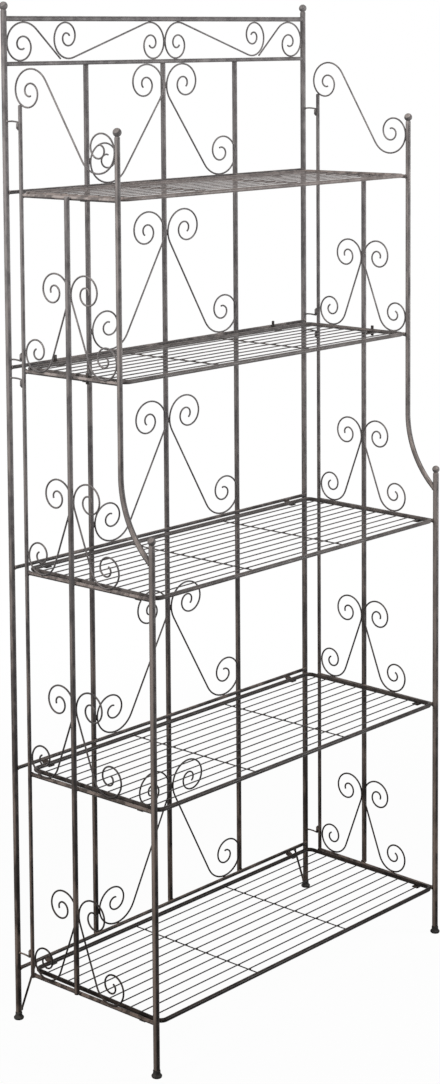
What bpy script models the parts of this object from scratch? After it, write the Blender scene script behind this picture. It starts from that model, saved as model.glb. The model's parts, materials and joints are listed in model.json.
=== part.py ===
"""Five-tier folding plant stand in welded steel rod and tube.

A back panel stands on two posts.  Two side panels hang on it by hook-and-sleeve hinges, and five wire
shelves rest on lugs welded to the panels' rails.  Metres, +Z up, +Y to the back, origin on the floor in
the middle of the footprint.
"""
import math

import bmesh
import bpy
from mathutils import Matrix, Vector

# Overall frame
POST_SPAN = 0.800           # between the axes of the two back posts
LOWEST_RAIL = 0.0935        # floor to the lowest back shelf rail
BOTTOM_BAY = 0.362          # between the back shelf rails, from the bottom up
FOURTH_BAY = 0.357
THIRD_BAY = 0.351
SECOND_BAY = 0.302
UPPER_COUNT = 2             # shelves that the upper front posts carry
TOP_RAIL_RISE = 0.296       # top rail above the highest shelf rail
FRIEZE_HEIGHT = 0.077       # frieze rail below the top rail
FINIAL_RISE = 0.029         # tip of a back finial above the top rail
PANEL_REAR = 0.0375         # rear post of a side panel, forward of the back posts
UPPER_DEPTH = 0.261         # upper front posts, forward of the back posts
LOWER_DEPTH = 0.328         # lower front posts, forward of the back posts
PANEL_TOE = math.radians(1.43)      # side panels lean in at the front, towards the shelf ends

# Rod and tube radii
POST_R = 0.00525
BAR_R = 0.00475
LOWER_POST_R = 0.0055
PANEL_REAR_R = 0.0035
TOP_RAIL_R = 0.0045
FRIEZE_RAIL_R = 0.00375
RAIL_R = 0.00325
WIRE_R = 0.0016             # scrolls
RIM_R = 0.0035              # shelf rim
GRID_R = 0.0011             # shelf wires
BRACE_R = 0.0020
HOOK_R = 0.0015
SLEEVE_R = 0.0032

# Clearances and seats
GAP = 0.0003                # between pieces that touch on the real stand
PIN_CLEAR = 0.0004          # hinge pin in its sleeve, on the radius
WELD = 0.0012               # depth a welded piece sinks into its neighbour
SLEEVE_SINK = 0.0009        # depth a hinge sleeve sinks into its post
OVERRUN = 0.002             # cutter past the piece it cuts
RAIL_IN = 0.0038            # shelf rails inside the plane of their panel

# Back panel
BAR_X = 0.200               # side bars, either side of the middle one
BRACE_RISE = 0.074
BRACE_RUN = 0.031
LYRE_TOP = 0.246            # scroll tops above their rail; those of the top bay meet the frieze
BOTTOM_LYRE_TOP = 0.262
FRIEZE_END_SPAN = 0.134     # foot of an end scroll's tail, in from its post
FRIEZE_LAP = 0.015          # reach of the S-scroll past that foot

# Side panels
SIDE_DROP = 0.004           # side rails below the back rails
SIDE_LYRE_TOP = 0.174       # scroll tops above their rail
TOP_SCROLL_RISE = 0.211     # top and foot of the uppermost scroll above the highest back rail
TOP_SCROLL_FOOT = 0.039
TOP_SCROLL_REAR = 0.0272    # rearmost point of that scroll, forward of the back posts
UPPER_BALL_RISE = 0.108     # ball above the highest back rail
LOWER_BALL_RISE = 0.095     # ball above the highest of the lower back rails
SWEEP_RISE = 0.055          # end of the upper post's sweep above that rail
SWEEP_R = 0.180
TOP_HOOK_RISE = 0.121       # hinge hooks above or below the back rails
SECOND_HOOK_RISE = 0.014
SECOND_HOOK_DROP = 0.018
FOOT_HOOK_RISE = 0.028
PIN_LENGTH = 0.014
SLEEVE_LENGTH = 0.010

# Shelves
RIM_RISE = 0.002            # rim above the side rails
SHELF_SIDE = 0.0195         # rim axis inside the side panels
SHELF_REAR = 0.025          # rear rim axis in front of the back posts
RIM_CORNER = 0.012
GRID_PITCH = 0.0253
CROSS_X = 0.125
UPPER_LUG_X = 0.296         # back lugs of the upper and lower shelves, either side of the middle
LOWER_LUG_X = 0.335
UPPER_LUG_FRONT = 0.081     # their side lugs, behind the front posts
LOWER_LUG_FRONT = 0.034
LUG_PLATE = 0.0015          # a plate's thickness, from inside its rail
TAB_LEVEL = 1               # shelf whose plates stand up past their rails as tabs
TAB_PLATE = 0.0028
TAB_RISE = 0.011            # a tab's top above its rail's axis
LUG_DROP = 0.009            # a plate's foot below that axis
LUG_WIDTH = 0.006
LUG_ARM = 0.003             # arm's thickness and width, and its toe past the rim's axis
LUG_ARM_WIDTH = 0.022
LUG_TOE = 0.004

# Scroll coils, each as (in from the scroll's near edge, in from its top or foot, outer radius) before the
# scroll is stretched to fill the space between its neighbours
FRIEZE_INNER = (0.0380, 0.0275, 0.0385)
FRIEZE_OUTER = (0.0350, 0.0255, 0.0370)
FRIEZE_END = (0.0485, 0.0240, 0.0420)
LYRE_UPPER = (0.0570, 0.0370, 0.0450)
LYRE_LOWER = (0.0520, 0.0455, 0.0475)
SIDE_UPPER = (0.0390, 0.0295, 0.0370)
SIDE_LOWER = (0.0260, 0.0390, 0.0365)
TOP_UPPER = (0.0360, 0.0400, 0.0430)
TOP_LOWER = (0.0328, 0.0414, 0.0440)
END_BEARING = math.radians(140)     # where an end scroll's tail meets its coil
COIL_SWEEP = math.radians(575)
COIL_CLOSING = 0.83         # share of its reach that a coil loses from end to end
COIL_EASE = 1.25            # how much faster it closes at first than at last
COIL_POINTS = 16
COIL_CROWDING = 1.2         # points stand closer together on the wide outer turn

# Finials and foot caps
BALL_R = 0.0075
LOWER_BALL_R = 0.0070
NECK_STEP = 0.0009          # neck of a finial inside its post
CAP_R = 0.0090
CAP_H = 0.0130
CAP_LIP = 0.0012            # cap's collar outside its post

HALF = POST_SPAN / 2
BAYS = (SECOND_BAY, THIRD_BAY, FOURTH_BAY, BOTTOM_BAY)
LEVELS = [LOWEST_RAIL + sum(BAYS[i:]) for i in range(len(BAYS) + 1)]        # back shelf rails, top to bottom
HOOKS = ((LEVELS[0] + TOP_HOOK_RISE, -1), (LEVELS[1] + SECOND_HOOK_RISE, 1),
         (LEVELS[1] - SECOND_HOOK_DROP, -1), (LEVELS[4] + FOOT_HOOK_RISE, 1))       # height, way of the pin
FRIEZE_SPLIT = HALF - FRIEZE_END_SPAN
TOP_RAIL_Z = LEVELS[0] + TOP_RAIL_RISE
FRIEZE_RAIL_Z = TOP_RAIL_Z - FRIEZE_HEIGHT
BAR_OUT = BAR_R + RAIL_R + GAP - RAIL_IN        # bars and middle posts pass outside the rails
MID_Y = (PANEL_REAR + UPPER_DEPTH) / 2
HINGE_Y = PANEL_REAR - PANEL_REAR_R - SLEEVE_R + SLEEVE_SINK
FRONT_Y = HINGE_Y + (LOWER_DEPTH - HINGE_Y) * math.cos(PANEL_TOE)       # lower front posts, leaning in
BACK_Y = (FRONT_Y + CAP_R - BAR_OUT - BAR_R) / 2        # back posts behind the footprint's middle
SLANT = math.atan(COIL_CLOSING * COIL_EASE / COIL_SWEEP)        # of a coil's outer end to a circle
SMOOTH_ANGLE = math.radians(50)

BRONZE = (0.105, 0.092, 0.082)
BRONZE_LIGHT = (0.150, 0.132, 0.120)
BRONZE_BROWN = (0.135, 0.108, 0.090)
BLACK = (0.030, 0.028, 0.027)

for old in list(bpy.data.objects):
    bpy.data.objects.remove(old, do_unlink=True)
stand = bpy.data.collections.new("plant_stand")
bpy.context.scene.collection.children.link(stand)
tools = bpy.data.collections.new("plant_stand_cutters")
bpy.context.scene.collection.children.link(tools)


def tube(points, radius, resolution=1, closed=False):
    """Round rod along a line of points, as a closed mesh object."""
    curve = bpy.data.curves.new("rod", "CURVE")
    curve.dimensions = "3D"
    curve.bevel_depth = radius
    curve.bevel_resolution = resolution
    curve.use_fill_caps = not closed
    curve.twist_mode = "MINIMUM"
    spline = curve.splines.new("POLY")
    spline.points.add(len(points) - 1)
    for point, place in zip(spline.points, points):
        point.co = (*place, 1.0)
    spline.use_cyclic_u = closed
    source = bpy.data.objects.new("rod", curve)
    tools.objects.link(source)
    mesh = bpy.data.meshes.new_from_object(source.evaluated_get(bpy.context.evaluated_depsgraph_get()))
    bm = bmesh.new()
    bm.from_mesh(mesh)
    bmesh.ops.remove_doubles(bm, verts=bm.verts, dist=1e-5)
    bmesh.ops.recalc_face_normals(bm, faces=bm.faces)
    bm.to_mesh(mesh)
    bm.free()
    rod = bpy.data.objects.new("rod", mesh)
    tools.objects.link(rod)
    bpy.data.objects.remove(source, do_unlink=True)
    bpy.data.curves.remove(curve)
    return rod


def block(low, high):
    """Box between two corners."""
    mesh = bpy.data.meshes.new("block")
    bm = bmesh.new()
    bmesh.ops.create_cube(bm, size=1.0)
    low, high = Vector(low), Vector(high)
    for vert in bm.verts:
        vert.co = Vector((low[i] + high[i]) / 2 + vert.co[i] * abs(high[i] - low[i]) for i in range(3))
    bm.to_mesh(mesh)
    bm.free()
    box = bpy.data.objects.new("block", mesh)
    tools.objects.link(box)
    return box


def combine(first, others, operation="UNION"):
    """One body from several, by Booleans on the first."""
    for other in others:
        change = first.modifiers.new("weld", "BOOLEAN")
        change.operation = operation
        change.solver = "EXACT"
        change.object = other
        bpy.context.view_layer.update()
        shaped = first.evaluated_get(bpy.context.evaluated_depsgraph_get())
        mesh = bpy.data.meshes.new_from_object(shaped)
        first.modifiers.clear()
        first.data = mesh
        bpy.data.objects.remove(other, do_unlink=True)
    return first


def gather(pieces):
    """Several separate rods held in one mesh, to be welded on together."""
    bm = bmesh.new()
    for piece in pieces:
        bm.from_mesh(piece.data)
        bpy.data.objects.remove(piece, do_unlink=True)
    mesh = bpy.data.meshes.new("rods")
    bm.to_mesh(mesh)
    bm.free()
    group = bpy.data.objects.new("rods", mesh)
    tools.objects.link(group)
    return group


def finish(piece, name, colour, roughness=0.55, metallic=0.7, parent=None, origin=None):
    """Name a piece, give it its paint, and hang it on its joint."""
    piece.name = piece.data.name = name
    tools.objects.unlink(piece)
    stand.objects.link(piece)
    paint = bpy.data.materials.new(name)
    paint.use_nodes = True
    shader = paint.node_tree.nodes["Principled BSDF"]
    shader.inputs["Base Color"].default_value = (*colour, 1.0)
    shader.inputs["Roughness"].default_value = roughness
    shader.inputs["Metallic"].default_value = metallic
    piece.data.materials.clear()
    piece.data.materials.append(paint)
    piece.data.shade_smooth()
    piece.data.set_sharp_from_angle(angle=SMOOTH_ANGLE)
    piece.data.transform(Matrix.Translation((0.0, BACK_Y, 0.0)))
    if origin is not None:
        place = Vector(origin) + Vector((0.0, BACK_Y, 0.0))
        piece.data.transform(Matrix.Translation(-place))
        piece.location = place
    if parent is not None:
        piece.data.transform(Matrix.Translation(-parent.location))
        piece.parent = parent
    return piece


def turned(profile, x, y, steps=10):
    """Turned piece: a half profile, top to bottom, spun about the vertical at (x, y)."""
    mesh = bpy.data.meshes.new("turned")
    bm = bmesh.new()
    line = [bm.verts.new((radius, 0.0, height)) for radius, height in profile]
    for above, below in zip(line, line[1:]):
        bm.edges.new((above, below))
    bm.to_mesh(mesh)
    bm.free()
    source = bpy.data.objects.new("turned", mesh)
    tools.objects.link(source)
    spin = source.modifiers.new("spin", "SCREW")
    spin.axis = "Z"
    spin.steps = spin.render_steps = steps
    spin.use_merge_vertices = True
    spin.merge_threshold = 0.00001
    bpy.context.view_layer.update()
    solid = bpy.data.meshes.new_from_object(source.evaluated_get(bpy.context.evaluated_depsgraph_get()))
    bm = bmesh.new()
    bm.from_mesh(solid)
    bmesh.ops.remove_doubles(bm, verts=bm.verts, dist=1e-6)
    bmesh.ops.recalc_face_normals(bm, faces=bm.faces)
    for vert in bm.verts:
        vert.co += Vector((x, y, 0.0))
    bm.to_mesh(solid)
    bm.free()
    bpy.data.objects.remove(source, do_unlink=True)
    piece = bpy.data.objects.new("turned", solid)
    tools.objects.link(piece)
    return piece


def finial(x, y, centre, ball, post):
    """Ball on a neck that stands in a post's top end, and the height of that end."""
    top = centre - ball
    neck = post - NECK_STEP
    stop = math.degrees(math.acos(neck / ball))
    arc = [(ball * math.cos(a), centre + ball * math.sin(a))
           for a in (math.radians(90 - (90 + stop) * i / 6) for i in range(7))]
    arc[0] = (0.0, centre + ball)
    arc += [(neck, top - WELD), (0.0, top - WELD)]
    return turned(arc, x, y), top


def foot_cap(x, y, post):
    """Flared cap under a post."""
    outline = [(0.0, CAP_H), (post, CAP_H), (post + CAP_LIP, CAP_H * 0.86), (CAP_R * 0.96, CAP_H * 0.5),
               (CAP_R, CAP_H * 0.26), (CAP_R * 0.9, 0.0), (0.0, 0.0)]
    return turned(outline, x, y, 12)


def coil(centre, start, radius, sense):
    """Points of a coil that winds in from its outer end; sense is +1 anticlockwise."""
    points = []
    for i in range(COIL_POINTS + 1):
        share = (i / COIL_POINTS) ** COIL_CROWDING
        reach = radius * (1 - COIL_CLOSING * (1 - (1 - share) ** COIL_EASE))
        angle = start + sense * COIL_SWEEP * share
        points.append((centre[0] + reach * math.cos(angle), centre[1] + reach * math.sin(angle)))
    return points


def scroll(one, r_one, two, r_two, sense_two, crossed):
    """Wire that coils at both ends and runs straight between: a C, or an S when the line is crossed.

    sense_two is the way the second coil winds in, travelling from the first one.
    """
    rho_one, rho_two = r_one * math.cos(SLANT), r_two * math.cos(SLANT)
    along = Vector((two[0] - one[0], two[1] - one[1]))
    span = along.length
    side_one = sense_two if not crossed else -sense_two
    tilt = math.asin(max(-1.0, min(1.0, (side_one * rho_one - sense_two * rho_two) / span)))
    bearing = math.atan2(along.y, along.x) + tilt
    run = Vector((math.cos(bearing), math.sin(bearing)))
    left = Vector((-run.y, run.x))
    start = Vector(one) - left * side_one * rho_one + run * r_one * math.sin(SLANT)
    end = Vector(two) - left * sense_two * rho_two - run * r_two * math.sin(SLANT)
    a_one = math.atan2(start.y - one[1], start.x - one[0])
    a_two = math.atan2(end.y - two[1], end.x - two[0])
    first = coil(one, a_one, r_one, -side_one)
    second = coil(two, a_two, r_two, sense_two)
    return first[::-1] + second


def fitted(points, u0, u1, v0, v1):
    """Points stretched to fill the box that their neighbours leave them."""
    us, vs = [p[0] for p in points], [p[1] for p in points]
    su, sv = (u1 - u0) / (max(us) - min(us)), (v1 - v0) / (max(vs) - min(vs))
    return [(u0 + (u - min(us)) * su, v0 + (v - min(vs)) * sv) for u, v in points]


def touch(offset, *radii):
    """Axis distance at which two round rods just clear when their planes are offset."""
    reach = sum(radii) + GAP
    return math.sqrt(max(reach * reach - offset * offset, 0.0))


def rim_height(level):
    """Axis of a shelf's rim above the floor."""
    return LEVELS[level] - SIDE_DROP + RIM_RISE


def lug(level, rail, inward, at, rim):
    """Upright plate welded to a rail's inner face, and an arm that carries the shelf rim, as two boxes.

    rail is the rail's axis and rim the rim's axis, both measured across the rail; inward is the sign
    of the direction from one to the other; at is the place along the rail.
    """
    plate, rise = (TAB_PLATE, TAB_RISE) if level == TAB_LEVEL else (LUG_PLATE, 0.0)
    face = rail[0] + inward * (RAIL_R - WELD)
    top = rim_height(level) - RIM_R - GAP
    foot = min(rail[1] - LUG_DROP, top - LUG_ARM)
    boxes = (((face, face + inward * plate), (foot, rail[1] + rise), LUG_WIDTH),
             ((face + inward * WELD / 2, rim + inward * LUG_TOE), (top - LUG_ARM, top), LUG_ARM_WIDTH))
    return [(min(u), max(u), min(v), max(v), at - width / 2, at + width / 2) for u, v, width in boxes]


# Back panel: posts with their hinge hooks, finials and foot caps
for side, hand in (("left", -1), ("right", 1)):
    x = hand * HALF
    ball, top = finial(x, 0.0, TOP_RAIL_Z + FINIAL_RISE - BALL_R, BALL_R, POST_R)
    post = tube([(x, 0.0, CAP_H + GAP), (x, 0.0, top)], POST_R, 2)
    hooks = [tube([(x, -POST_R + WELD * 2, z), (x, -HINGE_Y + HOOK_R, z), (x, -HINGE_Y, z + way * HOOK_R),
                   (x, -HINGE_Y, z + way * PIN_LENGTH)], HOOK_R) for z, way in HOOKS]
    finish(combine(post, [ball, gather(hooks)]), f"back_post_{side}", BRONZE)
    finish(foot_cap(x, 0.0, POST_R), f"back_foot_{side}", BLACK, 0.6, 0.2)
    low = Vector((hand * (HALF - POST_R - GAP - BRACE_R), 0.0, LEVELS[4] - RAIL_R - BRACE_RISE))
    high = Vector((low.x - hand * BRACE_RUN, -RAIL_IN, LEVELS[4] - RAIL_R - GAP - BRACE_R * 0.45))
    finish(tube([low, high], BRACE_R), f"foot_brace_{side}", BRONZE)

# Back panel: top rail, frieze rail and the three bars behind the shelf rails
reach = HALF - POST_R - GAP
finish(tube([(-reach, 0.0, TOP_RAIL_Z), (reach, 0.0, TOP_RAIL_Z)], TOP_RAIL_R, 2), "top_rail", BRONZE_LIGHT)
finish(tube([(-reach, 0.0, FRIEZE_RAIL_Z), (reach, 0.0, FRIEZE_RAIL_Z)], FRIEZE_RAIL_R, 2), "frieze_rail",
       BRONZE_LIGHT)
for name, x in (("left", -BAR_X), ("middle", 0.0), ("right", BAR_X)):
    under_frieze = FRIEZE_RAIL_Z - FRIEZE_RAIL_R - GAP
    bar = tube([(x, BAR_OUT, LEVELS[4] - RAIL_R), (x, BAR_OUT, under_frieze)], BAR_R, 2)
    finish(bar, f"back_bar_{name}", BRONZE)

# Frieze: two S-scrolls meeting in the middle, and a tailed coil at each end
frieze_low = FRIEZE_RAIL_Z + FRIEZE_RAIL_R + WIRE_R + GAP
frieze_high = TOP_RAIL_Z - TOP_RAIL_R - WIRE_R - GAP
edge, stop = FRIEZE_SPLIT + FRIEZE_LAP, HALF - POST_R - WIRE_R - GAP
for side, hand in (("left", -1), ("right", 1)):
    outer = (edge - FRIEZE_OUTER[0], frieze_high - FRIEZE_OUTER[1])
    inner = (FRIEZE_INNER[0], frieze_low + FRIEZE_INNER[1])
    line = scroll(outer, FRIEZE_OUTER[2], inner, FRIEZE_INNER[2], 1, True)
    line = fitted(line, WIRE_R + GAP / 2, edge, frieze_low, frieze_high)
    finish(tube([(hand * u, 0.0, v) for u, v in line], WIRE_R, 0), f"frieze_scroll_{side}", BRONZE_LIGHT)
    centre = (HALF - FRIEZE_END[0], frieze_low + FRIEZE_END[1])
    line = [(FRIEZE_SPLIT, frieze_low)] + coil(centre, END_BEARING, FRIEZE_END[2], -1)
    line = fitted(line, FRIEZE_SPLIT, stop, frieze_low, frieze_high)
    finish(tube([(hand * u, 0.0, v) for u, v in line], WIRE_R, 0), f"frieze_end_{side}", BRONZE_LIGHT)

# Back panel: five shelf rails, each with its two lugs and a pair of scrolls standing on it
for level, z in enumerate(LEVELS):
    rail = tube([(-reach, -RAIL_IN, z), (reach, -RAIL_IN, z)], RAIL_R)
    top = BOTTOM_LYRE_TOP if level == len(LEVELS) - 1 else LYRE_TOP
    if level == 0:
        top = FRIEZE_RAIL_Z - FRIEZE_RAIL_R - WIRE_R - GAP - z
    clear = touch(BAR_OUT, BAR_R, WIRE_R)
    upper, lower = (LYRE_UPPER[0], top - LYRE_UPPER[1]), (BAR_X - LYRE_LOWER[0], LYRE_LOWER[1])
    line = scroll(upper, LYRE_UPPER[2], lower, LYRE_LOWER[2], 1, False)
    line = fitted(line, clear, BAR_X - clear, touch(RAIL_IN, RAIL_R, WIRE_R), top)
    for side, hand in (("left", -1), ("right", 1)):
        finish(tube([(hand * u, 0.0, z + v) for u, v in line], WIRE_R, 0), f"back_scroll_{level + 1}_{side}",
               BRONZE_LIGHT if level < UPPER_COUNT else BRONZE)
    welded = []
    for hand in (-1, 1):
        at = hand * (UPPER_LUG_X if level < UPPER_COUNT else LOWER_LUG_X)
        for u0, u1, v0, v1, s0, s1 in lug(level, (-RAIL_IN, z), -1, at, -SHELF_REAR):
            welded.append(block((s0, u0, v0), (s1, u1, v1)))
    finish(combine(rail, welded), f"back_rail_{level + 1}", BRONZE_LIGHT if level < UPPER_COUNT else BRONZE)

# Side panels, each hung on the back posts by its sleeves
for side, hand in (("left", -1), ("right", 1)):
    hinge = bpy.data.objects.new(f"{side}_panel_hinge", None)
    hinge.location = (hand * HALF, BACK_Y - HINGE_Y, 0.0)
    hinge.rotation_euler = (0.0, 0.0, -hand * PANEL_TOE)
    stand.objects.link(hinge)
    bpy.context.view_layer.update()
    x = hand * HALF
    x_rail, x_mid = hand * (HALF - RAIL_IN), hand * (HALF + BAR_OUT)
    rails = [z - SIDE_DROP for z in LEVELS]

    # S-scroll that runs down from the rear post to the upper front post
    front = UPPER_DEPTH - BAR_R - WIRE_R - GAP
    high, low = LEVELS[0] + TOP_SCROLL_RISE, LEVELS[0] + TOP_SCROLL_FOOT
    upper = (TOP_SCROLL_REAR + TOP_UPPER[0], high - TOP_UPPER[1])
    lower = (front - TOP_LOWER[0], low + TOP_LOWER[1])
    line = scroll(upper, TOP_UPPER[2], lower, TOP_LOWER[2], 1, True)
    line = fitted(line, TOP_SCROLL_REAR, front, low, high)
    finish(tube([(x, -u, v) for u, v in line], WIRE_R, 0), f"{side}_top_scroll", BRONZE_LIGHT, parent=hinge)
    over = []
    for (u0, v0), (u1, v1) in zip(line, line[1:]):
        for k in range(9):
            u, v = u0 + (u1 - u0) * k / 8, v0 + (v1 - v0) * k / 8
            if abs(u - PANEL_REAR) < PANEL_REAR_R + WIRE_R:
                over.append(v)
    rear_top = min(over) - WIRE_R - GAP

    # Rear post with its four sleeves
    post = tube([(x, -PANEL_REAR, rails[4] - RAIL_R), (x, -PANEL_REAR, rear_top)], PANEL_REAR_R, 2)
    sleeves, bores = [], []
    for z, way in HOOKS:
        near = z + way * (HOOK_R + GAP)
        far = near + way * SLEEVE_LENGTH
        sleeves.append(tube([(x, -HINGE_Y, near), (x, -HINGE_Y, far)], SLEEVE_R, 2))
        bores.append(tube([(x, -HINGE_Y, near - way * OVERRUN), (x, -HINGE_Y, far + way * OVERRUN)],
                          HOOK_R + PIN_CLEAR, 2))
    combine(post, [gather(sleeves)])
    combine(post, [gather(bores)], "DIFFERENCE")
    finish(post, f"{side}_rear_post", BRONZE, parent=hinge)

    # Middle post on the outer side of the rails, with a pair of scrolls welded to it above each lower rail
    post = tube([(x_mid, -MID_Y, rails[4] - RAIL_R), (x_mid, -MID_Y, rails[0] + RAIL_R)], BAR_R, 2)
    across = MID_Y - PANEL_REAR - BAR_R - WIRE_R - GAP
    upper, lower = (SIDE_UPPER[0], SIDE_LYRE_TOP - SIDE_UPPER[1]), (across - SIDE_LOWER[0], SIDE_LOWER[1])
    line = scroll(upper, SIDE_UPPER[2], lower, SIDE_LOWER[2], 1, False)
    line = fitted(line, touch(BAR_OUT, BAR_R, WIRE_R) - WELD * 2, across, touch(RAIL_IN, RAIL_R, WIRE_R),
                  SIDE_LYRE_TOP)
    pairs = [tube([(x, -MID_Y + way * u, z + v) for u, v in line], WIRE_R, 0)
             for z in rails[1:] for way in (-1, 1)]
    finish(combine(post, [gather(pairs)]), f"{side}_middle_post", BRONZE, parent=hinge)

    # Lower front post with its ball and foot cap
    joint = LEVELS[UPPER_COUNT]
    ball, top = finial(x, -LOWER_DEPTH, joint + LOWER_BALL_RISE, LOWER_BALL_R, LOWER_POST_R)
    post = tube([(x, -LOWER_DEPTH, CAP_H + GAP), (x, -LOWER_DEPTH, top)], LOWER_POST_R, 2)
    finish(combine(post, [ball]), f"{side}_lower_front_post", BRONZE, parent=hinge)
    finish(foot_cap(x, -LOWER_DEPTH, LOWER_POST_R), f"{side}_front_foot", BLACK, 0.6, 0.2, parent=hinge)

    # Upper front post: straight past two tiers, then swept forward to the lower post
    ball, top = finial(x, -UPPER_DEPTH, LEVELS[0] + UPPER_BALL_RISE, BALL_R, BAR_R)
    bend = math.acos(1 - (LOWER_DEPTH - UPPER_DEPTH) / SWEEP_R)
    path = [(x, -UPPER_DEPTH, top)]
    for i in range(9):
        a = bend * i / 8
        path.append((x, -UPPER_DEPTH - SWEEP_R * (1 - math.cos(a)),
                     joint + SWEEP_RISE + SWEEP_R * (math.sin(bend) - math.sin(a))))
    seat = tube([(x, -LOWER_DEPTH, joint), (x, -LOWER_DEPTH, joint + SWEEP_RISE + SWEEP_R)],
                LOWER_POST_R + GAP, 2)
    post = combine(combine(tube(path, BAR_R, 2), [seat], "DIFFERENCE"), [ball])
    finish(post, f"{side}_upper_front_post", BRONZE, parent=hinge)

    # Side rails: the upper two end at the upper front post, the others at the lower one
    for level, z in enumerate(rails):
        front, radius, behind = LOWER_DEPTH, LOWER_POST_R, LOWER_LUG_FRONT
        if level < UPPER_COUNT:
            front, radius, behind = UPPER_DEPTH, BAR_R, UPPER_LUG_FRONT
        rear = PANEL_REAR + PANEL_REAR_R + GAP
        rail = tube([(x_rail, -rear, z), (x_rail, radius + GAP - front, z)], RAIL_R)
        welded = []
        rim = hand * (HALF - SHELF_SIDE)
        for u0, u1, v0, v1, s0, s1 in lug(level, (x_rail, z), -hand, behind - front, rim):
            welded.append(block((u0, s0, v0), (u1, s1, v1)))
        colour = BRONZE_LIGHT if level < UPPER_COUNT else BRONZE
        finish(combine(rail, welded), f"{side}_rail_{level + 1}", colour, parent=hinge)

# Shelves: a rod rim with long wires, and two cross wires under them
for level in range(len(LEVELS)):
    z = rim_height(level)
    half = HALF - SHELF_SIDE
    front = UPPER_DEPTH if level < UPPER_COUNT else LOWER_DEPTH
    outline = []
    for cx, cy, first in ((half, -front, -90), (half, -SHELF_REAR, 0), (-half, -SHELF_REAR, 90),
                          (-half, -front, 180)):
        px = cx - math.copysign(RIM_CORNER, cx)
        py = cy + (RIM_CORNER if cy == -front else -RIM_CORNER)
        for k in range(4):
            a = math.radians(first + 30 * k)
            outline.append((px + RIM_CORNER * math.cos(a), py + RIM_CORNER * math.sin(a), z))
    rim = tube(outline, RIM_R, 1, closed=True)
    depth = front - SHELF_REAR
    count = round(depth / GRID_PITCH)
    wires = [tube([(-half, -SHELF_REAR - depth * k / count, z), (half, -SHELF_REAR - depth * k / count, z)],
                  GRID_R, 0) for k in range(1, count)]
    under = z - 2 * GRID_R - GAP
    wires += [tube([(hand * CROSS_X, -SHELF_REAR, under), (hand * CROSS_X, -front, under)], GRID_R, 0)
              for hand in (-1, 1)]
    finish(combine(rim, [gather(wires)]), f"shelf_{level + 1}", BRONZE_BROWN,
           origin=(0.0, -(SHELF_REAR + front) / 2, z))

bpy.context.view_layer.update()
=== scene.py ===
"""Plant stand in welded steel rod and tube with an antiqued bronze finish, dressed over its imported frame."""
import json
import math

import bmesh
import bpy
from mathutils import Matrix, Vector


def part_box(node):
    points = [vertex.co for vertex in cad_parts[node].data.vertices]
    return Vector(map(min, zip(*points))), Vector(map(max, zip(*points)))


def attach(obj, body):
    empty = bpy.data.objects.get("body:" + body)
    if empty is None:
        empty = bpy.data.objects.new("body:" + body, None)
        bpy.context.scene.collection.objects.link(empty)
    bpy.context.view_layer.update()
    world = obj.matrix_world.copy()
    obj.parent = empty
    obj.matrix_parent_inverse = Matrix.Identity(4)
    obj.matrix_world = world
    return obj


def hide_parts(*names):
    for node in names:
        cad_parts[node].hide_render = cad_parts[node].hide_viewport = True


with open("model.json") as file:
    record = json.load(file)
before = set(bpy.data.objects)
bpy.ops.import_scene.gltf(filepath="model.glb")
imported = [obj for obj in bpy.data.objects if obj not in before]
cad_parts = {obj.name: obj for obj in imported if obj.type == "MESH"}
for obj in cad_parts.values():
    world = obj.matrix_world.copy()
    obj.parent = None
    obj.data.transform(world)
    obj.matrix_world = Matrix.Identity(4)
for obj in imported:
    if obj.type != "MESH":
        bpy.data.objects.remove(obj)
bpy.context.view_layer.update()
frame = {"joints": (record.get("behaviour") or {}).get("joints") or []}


# Back posts.  Two tall round steel tubes at the rear corners, brushed dark bronze.  The upper end of each is
# closed by a turned ball on a neck, and the side panel hangs on four wire hooks welded to its front.
BACK_POST_RADIUS = 0.00525
TUBE_END = ((0.8, 0.0), (1.0, 0.0005), (1.0, 0.004))   # lower end in its cap: share of radius, height
BALL_RADIUS = 0.0075
BALL_RINGS = 14
BALL_TIP = math.radians(88)
NECK_STEP = 0.0009
SHOULDER = ((0.0, 0.0012), (0.0002, 0.0003))    # rings of a post's rounded end: inwards, below the neck
HOOK_RADIUS = 0.0015
HOOK_BURIED = 0.002
HOOK_BEND = 0.0016
HOOK_ARCH = 0.0010
HOOK_STEPS, BEND_STEPS = 8, 6
HOOK_WELD = (0.0027, 0.0019, 0.0026)
HOOKS = ((0, 0.121, -1), (1, 0.014, 1), (1, -0.018, -1), (4, 0.028, 1))     # rail, height over it, pin's way
PIN_LENGTH = 0.014
WELD_RINGS = 5
WELD_UNEVEN = 0.10
SHARP_EDGE = math.radians(42)
SHELF_RAIL_RADIUS = 0.00325
SHELF_BAYS = (0.362, 0.357, 0.351, 0.302)       # between the shelf rails, from the bottom up
# Colours at the head and at the foot: dark coat, ground, and the paler coat of worn patches and painted
# highlight. The head is paler and the foot darker as painted light from above; the real finish is the same all
# the way up.
UPPER_PAINT = ((0.086, 0.079, 0.080), (0.150, 0.140, 0.140), (0.262, 0.239, 0.232))
LOWER_PAINT = ((0.006, 0.005, 0.0046), (0.015, 0.012, 0.011), (0.190, 0.145, 0.120))
PAINTED_LIGHT_HEIGHTS = (0.05, 1.45)            # painted light: darkest here at the foot, palest here at the head
HIGHLIGHT_FACE = (-0.70, -0.12, 0.70)      # way the painted-highlight side of every bar faces: up, to the left lamp
HIGHLIGHT_EDGE = (0.50, 0.76)              # share of that turn at which the painted highlight begins and is full
FILED_END = ((0.0, 0.70), (0.12, 0.90), (0.35, 1.0), (0.70, 1.0))   # of a bar: run and reach, in radii

rail_heights = [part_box("back_bar_middle")[0].z + SHELF_RAIL_RADIUS]
for bay in SHELF_BAYS:
    rail_heights.insert(0, rail_heights[0] + bay)
hook_heights = [(rail_heights[rail] + rise, way) for rail, rise, way in HOOKS]
low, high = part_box("back_foot_right")
post_x, back_y = (low.x + high.x) / 2, (low.y + high.y) / 2

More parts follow.
